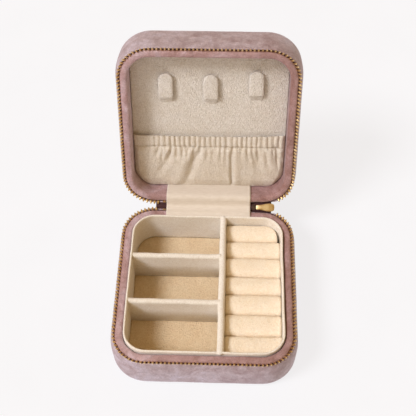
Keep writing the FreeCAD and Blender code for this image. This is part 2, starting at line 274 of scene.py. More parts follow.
def finish_piece(piece, material, body, slot, *nodes):
    """Material, body, record slot (not used) and the CAD nodes that a piece stands for."""
    piece.data.materials.append(material)
    if body:
        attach(piece, body)
    if nodes:
        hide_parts(*nodes)


cover_skin = 0.9 * MM
cover_edge = 1.2 * MM
lip_radius = 0.55 * MM
lip_inset = 1.5 * MM
shoulder_depth = 9 * MM
edge_radius = 4.5 * MM
wall_crown = 0.15 * MM
flat_inset = 7 * MM
garage_radius = 3.3 * MM
garage_start, garage_end = 24.6 * MM, 41.0 * MM
nap_patch, nap_streak, pile_grain = 13 * MM, 2.6 * MM, 0.5 * MM
# Painted sheen and shade: how much it changes across the case, its middle, how much by the way a face turns,
# and the weight of random patches.
painted_shade_across, painted_shade_middle, painted_shade_facing, nap_patches = 3.2, 0.43, 0.20, 1.15


def velvet(name, deep, middle, pale, sheen=0.5):
    """Short pile with painted sheen and shade: paler on the left and on faces turned right, darker on the
    right.
    """
    material, tree, surface = shader(name, 0.85, Sheen_Weight=sheen, Sheen_Roughness=0.38)
    set_inputs(surface, {"Sheen Tint": (0.86, 0.82, 0.95, 1.0), "Specular IOR Level": 0.2})
    place = object_place(tree)
    patches = cloud(tree, place, nap_patch, 4.0, 1.4, 0.62)
    brushed = cloud(tree, place, nap_streak, 4.0, 0.8, 0.6)
    pile = cloud(tree, place, pile_grain, 2.0)
    across = add_node(tree, "SeparateXYZ")
    tree.links.new(place, across.inputs[0])
    facing = add_node(tree, "SeparateXYZ")
    tree.links.new(tree.nodes["Texture Coordinate"].outputs["Normal"], facing.inputs[0])
    # Painted sheen and shade: higher towards the left of the case and on faces turned right, which come out
    # paler; random patches go on top.
    side = calculate(tree, "MULTIPLY_ADD", across.outputs["X"], -painted_shade_across, painted_shade_middle)
    painted_sheen_and_shade = calculate(tree, "MULTIPLY_ADD", facing.outputs["X"], painted_shade_facing, side)
    shifted = calculate(tree, "SUBTRACT", painted_sheen_and_shade, nap_patches / 2)
    nap = calculate(tree, "MULTIPLY_ADD", patches, nap_patches, shifted)
    base = ramp(tree, nap, [(0.12, deep), (0.48, middle), (0.86, pale)])
    streaks = ramp(tree, brushed, [(0.32, (0.36, 0.35, 0.35)), (0.68, (0.64, 0.65, 0.66))])
    specks = ramp(tree, pile, [(0.30, (0.34, 0.33, 0.33)), (0.70, (0.66, 0.66, 0.68))])
    mixed = overlay(tree, 0.55, base, streaks)
    mixed = overlay(tree, 0.6, mixed, specks)
    paint(tree, surface, mixed)
    bump(tree, surface, [(brushed, 0.3, 0.4 * MM), (pile, 0.5, 0.12 * MM)])
    return material


velvet_pink = velvet("velvet_pink", (0.28, 0.185, 0.185), (0.43, 0.345, 0.37), (0.53, 0.47, 0.56))


def make_room(points, gather=2.5 * MM):
    """Push points out of the round room where the slider parks beside the strap."""
    moved = np.array(points, float)
    flat = moved.reshape(-1, 3)
    for i, (x, y, depth) in enumerate(flat):
        ends = min(x - garage_start, garage_end - x) / gather
        away = math.hypot(y - hinge_y, depth)
        room = garage_radius * min(max(ends + 1, 0), 1)
        if away < room:
            push = room / max(away, 1e-6)
            flat[i][1] = hinge_y + (y - hinge_y) * push
            flat[i][2] = depth * push
    return flat.reshape(moved.shape)


def cover_profile(height):
    lip = (lip_inset, cover_edge + lip_radius)
    edge = (edge_radius, height - edge_radius)
    wall_top, wall_bottom = lip[1] + 0.3 * MM, height - edge_radius
    start = lip_inset - lip_radius
    wall = []
    for s in np.linspace(0, 1, 16):
        depth = wall_top + (wall_bottom - wall_top) * s
        drawn_in = start * max(0.0, 1 - (depth - lip[1]) / shoulder_depth) ** 2.2
        wall.append((drawn_in - wall_crown * math.sin(math.pi * s), depth, 1.0))
    inner_lip = lip_inset + lip_radius
    profile = [(inner_lip, lip[1] + 1.9 * MM, 1.0), (inner_lip, lip[1] + 0.6 * MM, 1.0)]
    profile += arc(lip, lip_radius, 0, 180, 9)
    profile += wall
    profile += arc(edge, edge_radius, 180, 270, 9)[1:]
    shares = (1.0, 0.85, 0.6, 0.35, 0.12, 0.0)
    profile += [(flat_inset, height, share) for share in shares]
    profile += [(flat_inset, height - cover_skin, share) for share in reversed(shares)]
    profile += arc(edge, edge_radius - cover_skin, 270, 180, 7)
    profile += [(cover_skin, lip[1] + 3.6 * MM, 1.0), (cover_skin + 0.5 * MM, lip[1] + 2.1 * MM, 1.0)]
    return profile


def make_cover(name, node, height, place, body, seed):
    flat = swept(cover_profile(height), np.array)
    flat = make_room(flat)
    flat = ripple(flat, 0.12 * MM, 11 * MM, seed)
    piece = ring_piece(name, flat, place)
    subdivide(piece)
    finish_piece(piece, velvet_pink, body, velvet_slot, node)


velvet_slot = "dusty_pink_velvet"
lid_height = 23.5 * MM
make_cover("base_cover", "base_velvet_cover", zip_z, in_base, "base", 1)
make_cover("lid_cover", "lid_velvet_cover", lid_height, in_lid, "lid", 2)

# ---- shells, cores and foam ------------------------------
# Hidden stiffening: a pressed shell in each half, the rim's core, the board that the
# ring rolls stand on, and soft foam behind the lid's panel. The rolls share the foam.


def board(name, colour):
    material, tree, surface = shader(name, 0.85)
    place = object_place(tree)
    fibres = cloud(tree, place, 1.4 * MM, 5.0, 1.5)
    darker = tuple(c * 0.72 for c in colour)
    paint(tree, surface, ramp(tree, fibres, [(0.35, darker), (0.65, colour)]))
    bump(tree, surface, [(fibres, 0.3, 0.1 * MM)])
    return material


shell_board = board("shell_board", (0.20, 0.17, 0.16))
foam = board("foam", (0.80, 0.76, 0.66))
for node in ("base_shell", "lid_shell", "base_rim_core", "lid_rim_core", "ring_bed_board"):
    dress(node, shell_board)
dress("lid_foam_pad", foam)

# ---- rims ------------------------------------------------
# A padded band inside the zip, wrapped in the cover's velvet. In the lid the velvet goes
# on down to the panel; in the base it ends behind the tray.
rim_inset = 2.7 * MM
rim_width = 4.2 * MM
rim_gap = 0.3 * MM
rim_skin = 0.55 * MM
rim_foot = 9 * MM
lid_recess = 12.5 * MM

# The cover's velvet, given darker and browner tones on the rim: painted shade.
velvet_rim = velvet("velvet_rim", (0.28, 0.155, 0.135), (0.41, 0.265, 0.26), (0.56, 0.44, 0.48), 0.42)


def rim_profile(inner_depth, outer_depth):
    """Outside of the band from its hidden foot, over its rounded top, to its inner foot."""
    middle, half = rim_inset + rim_width / 2, rim_width / 2
    crown = []
    for angle in np.radians(np.linspace(180, 0, 17)):
        across = math.copysign(abs(math.cos(angle)) ** 0.75, math.cos(angle))
        crown.append((middle + half * across, rim_gap + 1.9 * MM * (1 - abs(math.sin(angle)) ** 0.85), 1.0))
    outside = [(rim_inset, depth, 1.0) for depth in (outer_depth - 0.2 * MM, 5 * MM, 3 * MM)]
    steps = np.linspace(3 * MM, inner_depth, 8)
    inner = rim_inset + rim_width
    hollow = 0.12 * MM
    inside = [(inner - hollow * math.sin(math.pi * i / 7), d, 1.0) for i, d in enumerate(steps)]
    shell = outside + crown + inside
    lining = []
    deepest = max(inner_depth, outer_depth)
    for inset, depth, share in reversed(shell):
        towards = (middle - inset) / half
        drop = rim_skin * (1 - abs(towards))
        lining.append((inset + rim_skin * towards, min(depth + drop, deepest), share))
    return shell + lining


def make_rim(name, node, inner_depth, place, body, seed):
    flat = swept(rim_profile(inner_depth, rim_foot), np.array)
    flat = ripple(flat, 0.20 * MM, 6.5 * MM, seed)
    piece = ring_piece(name, flat, place)
    subdivide(piece)
    finish_piece(piece, velvet_rim, body, velvet_slot, node)


make_rim("base_rim", "base_rim_velvet", rim_foot, in_base, "base", 3)
make_rim("lid_rim", "lid_rim_velvet", lid_recess, in_lid, "lid", 4)

# ---- zip tapes -------------------------------------------
# Dark woven tape, sewn between cover and rim. Where the zip begins, the two tapes run
# together through the slider, so one strip there crosses from the base to the lid.


def woven(name, dark, light, size):
    material, tree, surface = shader(name, 0.9)
    place = object_place(tree)
    threads = []
    for axis in ("X", "Z"):
        wave = add_node(tree, "TexWave", Scale=1.0 / size, Distortion=0.6, Detail=1.0)
        wave.bands_direction = axis
        tree.links.new(place, wave.inputs["Vector"])
        threads.append(wave.outputs["Fac"])
    weave = calculate(tree, "MULTIPLY", *threads)
    paint(tree, surface, ramp(tree, weave, [(0.1, dark), (0.7, light)]))
    bump(tree, surface, [(weave, 0.5, 0.08 * MM)])
    return material


tape_maroon = woven("tape_maroon", (0.035, 0.011, 0.012), (0.10, 0.034, 0.034), 1.6 * MM)
for node in ("base_zip_tape", "lid_zip_tape", "zip_end_tape"):
    dress(node, tape_maroon)

chain_inset = 2.4 * MM
tape_edge = 1.6 * MM
gusset_skin = 0.3 * MM
gusset_tuck = 0.45 * MM


def bar_faces(rows, columns):
    """Faces of a solid bar: rings one after another, and both ends closed."""
    ends = [tuple(range(columns)), tuple(range((rows - 1) * columns, rows * columns))]
    return grid_faces(rows, columns, False, True) + ends


def make_zip_gusset(name, left, right):
    """Tape that crosses from one half to the other, tucked in at the hinge line."""
    edge = [0, case_half - chain_inset, tape_edge + 0.8 * MM]
    base_edge, lid_edge = in_base(edge), in_lid(edge)
    middle = at_zip_end([0, 0, -gusset_tuck])
    half_down, half_up = base_edge * 0.5 + middle * 0.5, middle * 0.5 + lid_edge * 0.5
    across = [base_edge, half_down, middle, half_up, lid_edge]
    out = at_zip_end([0, 0, gusset_skin]) - middle
    loop = across + [p + out for p in reversed(across)]
    rows = []
    for x in np.linspace(left, right, 9):
        rows.append([(x, p[1], p[2]) for p in loop])
    piece = make_piece(name, rows, bar_faces(len(rows), len(loop)))
    finish_piece(piece, tape_maroon, None, "zip_tape")
    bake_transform(piece)


make_zip_gusset("zip_gusset_start", 23.7 * MM, 36.5 * MM)
make_zip_gusset("zip_gusset_end", -30.5 * MM, -23.7 * MM)

# ---- zip teeth -------------------------------------------
# Brass-coloured teeth clamped on the tapes' edges. Each one straddles the tape and leans
# outwards to a narrow head. The lid's row stands half a pitch along, so the rows mesh.
tooth_pitch = 2.1 * MM
tooth_start = 39.2 * MM
tooth_end = -27.2 * MM
tooth_lean = math.radians(2.5)
tooth_sides = 8
scuff = 0.10


def metal(name, deep, bright, roughness):
    material, tree, surface = shader(name, roughness, Metallic=1.0)
    place = object_place(tree)
    tarnish = cloud(tree, place, 4 * MM, 4.0, 0.5)
    scratches = cloud(tree, place, 0.5 * MM, 3.0)
    paint(tree, surface, ramp(tree, tarnish, [(0.34, deep), (0.62, bright)]))
    polish = add_node(tree, "MapRange", To_Min=roughness - scuff, To_Max=roughness + scuff)
    tree.links.new(scratches, polish.inputs["Value"])
    tree.links.new(polish.outputs["Result"], surface.inputs["Roughness"])
    bump(tree, surface, [(scratches, 0.12, 0.05 * MM)])
    return material


brass = metal("brass", (0.66, 0.46, 0.20), (0.90, 0.72, 0.42), 0.32)
# Near-black metal for the zip's end stop, kept dark so that no bright metal shows there.
near_black_metal = metal("dark_bronze", (0.05, 0.03, 0.025), (0.12, 0.08, 0.06), 0.45)


def make_tooth():
    """One tooth about its tape's edge, in mm: x along the zip, y outwards, z up."""
    spine = [(-0.15, -1.1, 0.50, 0.66), (-0.05, -0.2, 0.58, 0.74), (0.15, 0.35, 0.63, 0.74)]
    spine += [(0.45, 0.90, 0.64, 0.72), (0.72, 1.28, 0.52, 0.64)]
    spine += [(0.90, 1.60, 0.43, 0.52), (0.95, 1.84, 0.32, 0.34)]
    rings = []
    for out, up, half_width, half_depth in spine:
        for k in range(tooth_sides):
            a = 2 * math.pi * (k + 0.5) / tooth_sides
            wide, deep = half_width * 1.08 * math.cos(a), half_depth * 1.08 * math.sin(a) * 0.92
            rings.append((wide, out + deep, up))
    points = np.array(rings) * MM
    return make_piece("tooth", points, bar_faces(len(spine), tooth_sides), smooth=False)


def chain_tree(tooth):
    """Teeth along a curve: named inputs for pitch, lean and the side that is up."""
    tree = bpy.data.node_groups.new("zip_chain", "GeometryNodeTree")
    sockets = {"Line": "Geometry", "Pitch": "Float", "Up": "Vector", "Unevenness": "Float", "Seed": "Int"}
    for label, kind in sockets.items():
        tree.interface.new_socket(label, in_out="INPUT", socket_type="NodeSocket" + kind)
    tree.interface.new_socket("Teeth", in_out="OUTPUT", socket_type="NodeSocketGeometry")
    make = tree.nodes.new
    link = tree.links.new
    given, result = make("NodeGroupInput"), make("NodeGroupOutput")
    spaced = make("GeometryNodeResampleCurve")
    spaced.mode = "LENGTH"
    link(given.outputs["Line"], spaced.inputs["Curve"])
    link(given.outputs["Pitch"], spaced.inputs["Length"])
    tangent = make("GeometryNodeInputTangent")
    along = make("FunctionNodeAlignRotationToVector")
    along.axis = "X"
    link(tangent.outputs["Tangent"], along.inputs["Vector"])
    upright = make("FunctionNodeAlignRotationToVector")
    upright.axis = "Z"
    upright.pivot_axis = "X"
    link(along.outputs["Rotation"], upright.inputs["Rotation"])
    link(given.outputs["Up"], upright.inputs["Vector"])
    jitter = make("FunctionNodeRandomValue")
    jitter.data_type = "FLOAT_VECTOR"
    uneven = given.outputs["Unevenness"]
    link(calculate(tree, "MULTIPLY", uneven, -1.0), jitter.inputs["Min"])
    link(uneven, jitter.inputs["Max"])
    link(given.outputs["Seed"], [s for s in jitter.inputs if s.name == "Seed"][0])
    wobble = make("FunctionNodeRotateRotation")
    wobble.rotation_space = "LOCAL"
    link(upright.outputs["Rotation"], wobble.inputs["Rotation"])
    link(jitter.outputs["Value"], wobble.inputs["Rotate By"])
    model = make("GeometryNodeObjectInfo")
    model.inputs["Object"].default_value = tooth
    copies = make("GeometryNodeInstanceOnPoints")
    link(spaced.outputs["Curve"], copies.inputs["Points"])
    link(model.outputs["Geometry"], copies.inputs["Instance"])
    link(wobble.outputs["Rotation"], copies.inputs["Rotation"])
    real = make("GeometryNodeRealizeInstances")
    link(copies.outputs["Instances"], real.inputs["Geometry"])
    finish = make("GeometryNodeSetMaterial")
    finish.inputs["Material"].default_value = brass
    link(real.outputs["Geometry"], finish.inputs["Geometry"])
    link(finish.outputs["Geometry"], result.inputs["Teeth"])
    return tree


def lengths_along(line):
    """Distance from a line's first point to each of its points."""
    return np.concatenate([[0], np.cumsum(np.linalg.norm(np.diff(line, axis=0), axis=1))])


def chain_line(shift):
    """The tape's edge from the slider round to the strap, begun shift further along."""
    fine = outline(chain_inset, 120, 60)
    start = next(i for i, p in enumerate(fine) if p[0] > tooth_start)
    line = fine[start:]
    later = range(len(line) // 2, len(line))
    line = line[:next(i for i in later if line[i][1] > 0 and line[i][0] > tooth_end)]
    lengths = lengths_along(line)
    teeth = int(lengths[-1] / tooth_pitch) - 1
    kept = shift + np.linspace(0, (teeth + 0.02) * tooth_pitch, 900)
    return np.column_stack([np.interp(kept, lengths, line[:, 0]), np.interp(kept, lengths, line[:, 1])])


def make_chain(name, node, tree, place, shift, body, seed):
    flat = chain_line(shift)
    points = place(np.column_stack([flat, np.full(len(flat), tape_edge)]))
    if body == "lid":
        points = points[::-1]
    curve = bpy.data.curves.new(name, "CURVE")
    curve.dimensions = "3D"
    line = curve.splines.new("POLY")
    line.points.add(len(points) - 1)
    for target, p in zip(line.points, points):
        target.co = (*p, 1.0)
    holder = bpy.data.objects.new(name + "_line", curve)
    bpy.context.scene.collection.objects.link(holder)
    modifier = holder.modifiers.new("teeth", "NODES")
    modifier.node_group = tree
    up = tuple(place([0, 0, -1.0]) - place([0, 0, 0.0]))
    values = {"Pitch": tooth_pitch, "Up": up, "Unevenness": tooth_lean, "Seed": seed}
    for socket in tree.interface.items_tree:
        if socket.in_out == "INPUT" and socket.name in values:
            modifier[socket.identifier] = values[socket.name]
    bpy.context.view_layer.update()
    evaluated = holder.evaluated_get(bpy.context.evaluated_depsgraph_get())
    mesh = bpy.data.meshes.new_from_object(evaluated)
    piece = bpy.data.objects.new(name, mesh)
    bpy.context.scene.collection.objects.link(piece)
    bpy.data.objects.remove(holder)
    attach(piece, body)
    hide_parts(node)


tooth_model = make_tooth()
teeth_tree = chain_tree(tooth_model)
make_chain("base_teeth", "base_zip_teeth", teeth_tree, in_base, 0.0, "base", 5)
make_chain("lid_teeth", "lid_zip_teeth", teeth_tree, in_lid, tooth_pitch / 2, "lid", 6)
bpy.data.objects.remove(tooth_model)
dress("base_zip_top_stop", brass)
dress("lid_zip_top_stop", brass)
dress("zip_end_stop", near_black_metal)

# ---- slider and pull -------------------------------------
# Cast slider: two plates with curled edges on a post, and an arch that holds a flat pull.
# It parks beside the strap, wide mouth towards the open teeth, with the pull outside.
slider_low, slider_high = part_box("zip_slider")
tail_x, nose_x = slider_low.x, slider_high.x
plate_skin = 0.7 * MM
channel_half = 0.9 * MM
plate_crown = 0.32 * MM
flange_skin = 0.4 * MM
tape_slot = 0.35 * MM


def bevelled(piece, width):
    modifier = piece.modifiers.new("soft_edges", "BEVEL")
    modifier.width = width
    modifier.segments = 2
    modifier.limit_method = "ANGLE"
    modifier.angle_limit = math.radians(35)


def slab(outline_points, low, high, crown=0.0):
    """Closed plate from a plan outline of x and across, with its low side crowned."""
    count = len(outline_points)
    centre = sum(x for x, w in outline_points) / count
    levels = [(low, 1.0), (high, 1.0)]
    if crown:
        levels = [(low - crown, 0.42), (low - 0.8 * crown, 0.66), (low - 0.4 * crown, 0.88)] + levels
    points = [(centre + (x - centre) * k, w * k, out) for out, k in levels for x, w in outline_points]
    ends = [tuple(range(count)), tuple(range((len(levels) - 1) * count, len(levels) * count))]
    return points, ends + grid_faces(len(levels), count, False, True)


def joined(parts):
    """Several closed shapes as one list of points and faces."""
    points, faces = [], []
    for more_points, more_faces in parts:
        start = len(points)
        points += list(more_points)
        faces += [tuple(start + i for i in face) for face in more_faces]
    return np.array(points), faces


def slider_outline():
    """Narrow over the joined chain, swelling to two shoulders round the open mouths."""
    length = nose_x - tail_x
    upper = []
    for s in np.linspace(0, 1, 25):
        swell = 0.5 - 0.5 * math.cos(math.pi * min(max((s - 0.12) / 0.62, 0), 1))
        closing = max(0.0, (s - 0.82) / 0.18) ** 2 * 0.75
        start = min(1.0, 0.78 + 4.0 * s)
        upper.append((tail_x + length * s, (1.35 * start + 0.95 * swell - closing) * MM))
    mouth = [(nose_x + 0.12 * MM, 0.7 * MM), (nose_x + 0.2 * MM, 0.0), (nose_x + 0.12 * MM, -0.7 * MM)]
    return upper + mouth + [(x, -w) for x, w in reversed(upper)]


def make_slider():
    inner = slab(slider_outline(), -channel_half - plate_skin, -channel_half, plate_crown)
    outer = slab(slider_outline(), channel_half, channel_half + plate_skin)
    parts = [inner, outer]
    turn = np.radians(range(0, 360, 30))
    post = [(nose_x - 1.7 * MM + 1.1 * MM * math.cos(a), 0.55 * MM * math.sin(a)) for a in turn]
    parts.append(slab(post, -channel_half, channel_half))
    edge = slider_outline()[3:20]
    for side in (1, -1):
        rail = [(x, side * w) for x, w in edge]
        rail += [(x, side * (w - flange_skin)) for x, w in reversed(edge)]
        parts.append(slab(rail, -channel_half, -tape_slot))
        parts.append(slab(rail, tape_slot, channel_half))
    points, faces = joined(parts)
    piece = make_piece("slider", at_zip_end(points), faces, smooth=False)
    bevelled(piece, 0.16 * MM)
    finish_piece(piece, brass, "slider", "zip_metal", "zip_slider")


make_slider()

pull_joint = next(j for j in frame["joints"] if j["name"] == "pull_swing")
pull_x = pull_joint["pos_m"][0]
pull_out = 2.45 * MM


def make_bridge():
    """Arch of round bar, both feet on the outer plate."""
    foot = channel_half + plate_skin
    points = []
    steps = 15
    for a in np.linspace(0, math.pi, steps):
        centre_x = pull_x - 1.62 * MM * math.cos(a)
        rise = foot - 0.1 * MM + 2.0 * MM * abs(math.sin(a)) ** 0.6
        for k in range(8):
            b = math.radians(45 * k + 22.5)
            aside = 0.36 * MM * math.cos(b)
            x, out = centre_x - math.cos(a) * aside, rise + math.sin(a) * aside
            points.append((x, 0.6 * MM * math.sin(b), out))
    piece = make_piece("bridge", at_zip_end(points), bar_faces(steps, 8))
    finish_piece(piece, brass, "slider", "zip_metal", "zip_slider_bridge")


def make_pull():
    """Flat pull: pin through the arch, two arms, then a plate that widens to a round end."""
    pin_half, arm, window, length, end = 1.85 * MM, 0.8 * MM, 2.75 * MM, 20 * MM, 2.6 * MM
    outside = [(0.0, -pin_half), (window, -pin_half)]
    for a in np.radians(np.linspace(-80, 80, 13)):
        outside.append((length - end + end * math.cos(a), end * math.sin(a)))
    outside += [(window, pin_half), (0.0, pin_half)]
    inside = [(-0.5 * MM, pin_half - arm), (window - 0.3 * MM, pin_half - arm), (window, 0.7 * MM)]
    inside += [(r, -w) for r, w in reversed(inside)]
    edge = outside + [(-0.45 * MM, pin_half), *inside, (-0.45 * MM, -pin_half)]
    half = 0.5 * MM
    mesh = bpy.data.meshes.new("pull")
    edit = bmesh.new()
    rim = [edit.verts.new((pull_x - half, w, pull_out + r)) for r, w in edge]
    eye_middle, eye = pull_out + length - end, 1.1 * MM
    turn = np.radians(range(0, 360, 20))
    eye_edge = [(pull_x - half, eye * math.sin(a), eye_middle + eye * math.cos(a)) for a in turn]
    hole = [edit.verts.new(point) for point in eye_edge]
    loops = []
    for ring in (rim, hole):
        loops += [edit.edges.new((ring[i], ring[(i + 1) % len(ring)])) for i in range(len(ring))]
    bmesh.ops.triangle_fill(edit, use_beauty=True, edges=loops)
    plate = bmesh.ops.extrude_face_region(edit, geom=edit.faces[:])
    lifted = [v for v in plate["geom"] if isinstance(v, bmesh.types.BMVert)]
    bmesh.ops.translate(edit, verts=lifted, vec=(2 * half, 0, 0))
    bmesh.ops.recalc_face_normals(edit, faces=edit.faces)
    bmesh.ops.dissolve_limit(edit, angle_limit=math.radians(2), verts=edit.verts, edges=edit.edges)
    for vertex in edit.verts:
        vertex.co = Vector(at_zip_end(np.array(vertex.co)))
    edit.to_mesh(mesh)
    edit.free()
    piece = bpy.data.objects.new("pull", mesh)
    bpy.context.scene.collection.objects.link(piece)
    bevelled(piece, 0.22 * MM)
    finish_piece(piece, brass, "pull", "zip_metal", "zip_pull")
    pin = []
    for w in (-1.5 * MM, 1.5 * MM):
        for k in range(12):
            a = math.radians(30 * k)
            pin.append((pull_x + half * math.cos(a), w, pull_out + half * math.sin(a)))
    bar = make_piece("pull_pin", at_zip_end(pin), bar_faces(2, 12))
    finish_piece(bar, brass, "pull", "zip_metal")


make_bridge()
make_pull()

# ---- tray lining -----------------------------------------
# Card lined with cream microsuede, dropped into the base: one wall bent round the four
# corners with its edge turned over, and a flat floor.
tray_inset = 7.2 * MM
tray_skin = 1.2 * MM
tray_rise = 1.1 * MM
floor_depth = zip_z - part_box("tray_floor")[1].z
tray_inner = tray_inset + tray_skin
tray_slack, tray_swell = 0.34 * MM, 15 * MM


def microsuede(name, deep, middle, pale, nap=1.0, grain=0.95):
    """Brushed microfibre: a low pebbled nap, stroked lighter and darker in patches."""
    material, tree, surface = shader(name, 0.92, Sheen_Weight=0.2, Sheen_Roughness=0.5)
    set_inputs(surface, {"Sheen Tint": (1.0, 0.96, 0.92, 1.0), "Specular IOR Level": 0.12})
    place = object_place(tree)
    stroked = cloud(tree, place, 9 * MM, 3.0, 0.8)
    mottle = cloud(tree, place, grain * MM, 2.0, 1.6, 0.4)
    fibres = cloud(tree, place, 0.34 * MM, 2.0)
    base = ramp(tree, mottle, [(0.30, deep), (0.50, middle), (0.70, pale)])
    shade = ramp(tree, stroked, [(0.3, (0.462, 0.46, 0.455)), (0.7, (0.538, 0.538, 0.54))])
    specks = ramp(tree, fibres, [(0.3, (0.44, 0.43, 0.42)), (0.7, (0.56, 0.56, 0.56))])
    mixed = overlay(tree, 0.8, base, shade)
    mixed = overlay(tree, 0.6, mixed, specks)
    paint(tree, surface, mixed)
    bump(tree, surface, [(mottle, min(1.0, 0.8 * nap), 0.75 * MM * nap), (fibres, 0.5, 0.10 * MM)])
    return material


# One cream microsuede with a tone for each place: greyer on the walls and dividers as painted cool light,
# warmer and more saturated on the floor as painted warm shade.
wall_tones_painted_cool = (0.73, 0.66, 0.58), (0.80, 0.745, 0.67), (0.86, 0.815, 0.75)
floor_tones_painted_shade = (0.69, 0.52, 0.33), (0.77, 0.60, 0.395), (0.83, 0.66, 0.46)
suede = microsuede("suede_cream", *wall_tones_painted_cool, 0.6)
suede_floor = microsuede("suede_floor", *floor_tones_painted_shade, 1.1)
suede_slot = "cream_microsuede"


def make_tray_wall():
    middle, half = tray_inset + tray_skin / 2, tray_skin / 2
    profile = [(tray_inset, floor_depth, 1.0), (tray_inset, 8 * MM, 1.0), (tray_inset, 0.8 * MM, 1.0)]
    profile += arc((middle, half - tray_rise), half, 180, 0, 9)
    profile += [(tray_inner, d, 1.0) for d in np.linspace(0.8 * MM, floor_depth + 0.3 * MM, 9)]
    flat = swept(profile, np.array)
    piece = ring_piece("tray_lining", ripple(flat, tray_slack, tray_swell, 7), in_base)
    subdivide(piece)
    finish_piece(piece, suede, "base", suede_slot, "tray_wall")


def make_tray_floor():
    """Floor pressed down inside the wall, so that its edge turns up a little all round."""
    inset = tray_inner - 0.12 * MM
    shares = [1.0, 0.985, 0.96, 0.85, 0.65, 0.4, 0.2, 0.0]
    turned_up = {1.0: 0.30 * MM, 0.985: 0.08 * MM}
    profile = [(inset, floor_depth + 0.7 * MM, s) for s in reversed(shares)]
    profile += [(inset, floor_depth - turned_up.get(s, 0.0), s) for s in shares]
    flat = swept(profile, np.array)
    flat = ripple(flat, tray_slack, tray_swell, 7)
    flat[..., 2] = np.maximum(flat[..., 2], floor_depth - 0.3 * MM)
    piece = ring_piece("tray_floor_lining", flat, in_base)
    finish_piece(piece, suede_floor, "base", suede_slot, "tray_floor")


make_tray_wall()
make_tray_floor()

# ---- dividers --------------------------------------------
# Thin boards padded and wrapped in the same suede, folded over the top edge: one long
# divider from back to front, and two short ones that make three compartments.
divider_rise = 1.0 * MM
divider_into_wall = 1.2 * MM
divider_stations = 45


def make_divider(name, seed):
    """Padded board whose cloth climbs a little on to the wall at both ends."""
    low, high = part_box(name)
    high.z += divider_rise
    along_x = high.x - low.x > high.y - low.y
    length = ((high.x - low.x) if along_x else (high.y - low.y)) + 2 * divider_into_wall
    half = ((high.y - low.y) if along_x else (high.x - low.x)) / 2
    middle = Vector(((low.x + high.x) / 2, (low.y + high.y) / 2, 0))
    section = [(-half, low.z), (-half, low.z * 0.4 + high.z * 0.6), (-half, high.z - half * 1.1)]
    for a in np.radians(np.linspace(180, 0, 11)):
        section.append((half * math.cos(a), high.z - half * 0.95 * (1 - math.sin(a))))
    section += [(half, high.z - half * 1.1), (half, low.z * 0.4 + high.z * 0.6), (half, low.z)]
    rows = []
    for s in np.linspace(-length / 2, length / 2, divider_stations):
        climb = 0.55 * MM * math.exp(-((length / 2 - abs(s)) / (2.2 * MM)) ** 2)
        for across, z in section:
            offset = (s, across) if along_x else (across, s)
            raised = z + climb * (z > high.z - 3 * MM)
            rows.append((middle.x + offset[0], middle.y + offset[1], raised))
    points = ripple(rows, 0.22 * MM, 7 * MM, seed)
    piece = make_piece(name + "_wrap", points, bar_faces(divider_stations, len(section)))
    finish_piece(piece, suede, "base", suede_slot, name)


for seed, name in enumerate(("long_divider", "cross_divider_rear", "cross_divider_front"), 10):
    make_divider(name, seed)

# ---- ring rolls ------------------------------------------
# Seven foam slabs with round tops, each wrapped in suede and glued side by side on a
# board. A ring's band goes into the slit between two rolls.
# Paler tone of the same cream microsuede on the rolls: painted light.
roll_tones_painted_light = (0.88, 0.74, 0.57), (0.95, 0.82, 0.65), (0.98, 0.88, 0.73)
suede_roll = microsuede("suede_roll", *roll_tones_painted_light, 1.0)
shoulder = 3.8 * MM
roll_fullness = 0.22 * MM
roll_reach = 0.25 * MM
plan_corners = {1: (7.0 * MM, 1.6 * MM), 7: (9.0 * MM, 0.0)}
squeezed = [0.0, 0.45 * MM, 1.35 * MM, 1.1 * MM, 1.7 * MM, 1.35 * MM, 0.6 * MM, 0.0]


def roll_points(number, skin, columns):
    """One slab's surface; the first and last are rounded to the tray's corner at the right."""
    low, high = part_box("ring_roll_%d" % number)
    rear, front = high.y + squeezed[number - 1], low.y + squeezed[number]
    half = (rear - front) / 2 + 0.06 * MM - skin
    middle = (rear + front) / 2
    bottom = low.z + skin
    top = high.z + 0.15 * MM * math.sin(number * 2.1) - skin
    turn = shoulder - skin
    section = [(-half * 0.96, bottom), (-half, bottom + 3 * MM), (-half, top - turn - 2 * MM)]
    for a in np.radians(np.linspace(180, 90, 8)):
        section.append((-half + turn + turn * math.cos(a), top - turn + turn * math.sin(a)))
    for across in np.linspace(-0.5, 0.5, 4):
        section.append((across * 2 * (half - turn), top + roll_fullness * (1 - 4 * across ** 2)))
    for a in np.radians(np.linspace(90, 0, 8)):
        section.append((half - turn + turn * math.cos(a), top - turn + turn * math.sin(a)))
    section += [(half, top - turn - 2 * MM), (half, bottom + 3 * MM), (half * 0.96, bottom)]
    corner, short = plan_corners.get(number, (0.0, 0.0))
    left, right = low.x - roll_reach + skin, high.x + roll_reach - short - skin
    rows = []
    for i in range(columns):
        s = 0.5 - 0.5 * math.cos(math.pi * i / (columns - 1))
        x = left + (right - left) * s
        to_end = min(x - left, right - x)
        tuck = 1.0 - 0.09 * max(0.0, 1 - to_end / (1.3 * MM)) ** 2
        into = max(0.0, x - (right - corner))
        cut_back = corner - math.sqrt(max(0.0, corner ** 2 - into ** 2))
        room = 1 - min(cut_back, 1.8 * half) / (2 * half)
        for across, z in section:
            y = middle + across * tuck
            if number == 1:
                y = middle - half + (y - middle + half) * room
            if number == 7:
                y = middle + half - (middle + half - y) * room
            rows.append((x, y, bottom + (z - bottom) * (1 - (1 - tuck) * 0.6)))
    return np.array(rows), len(section)


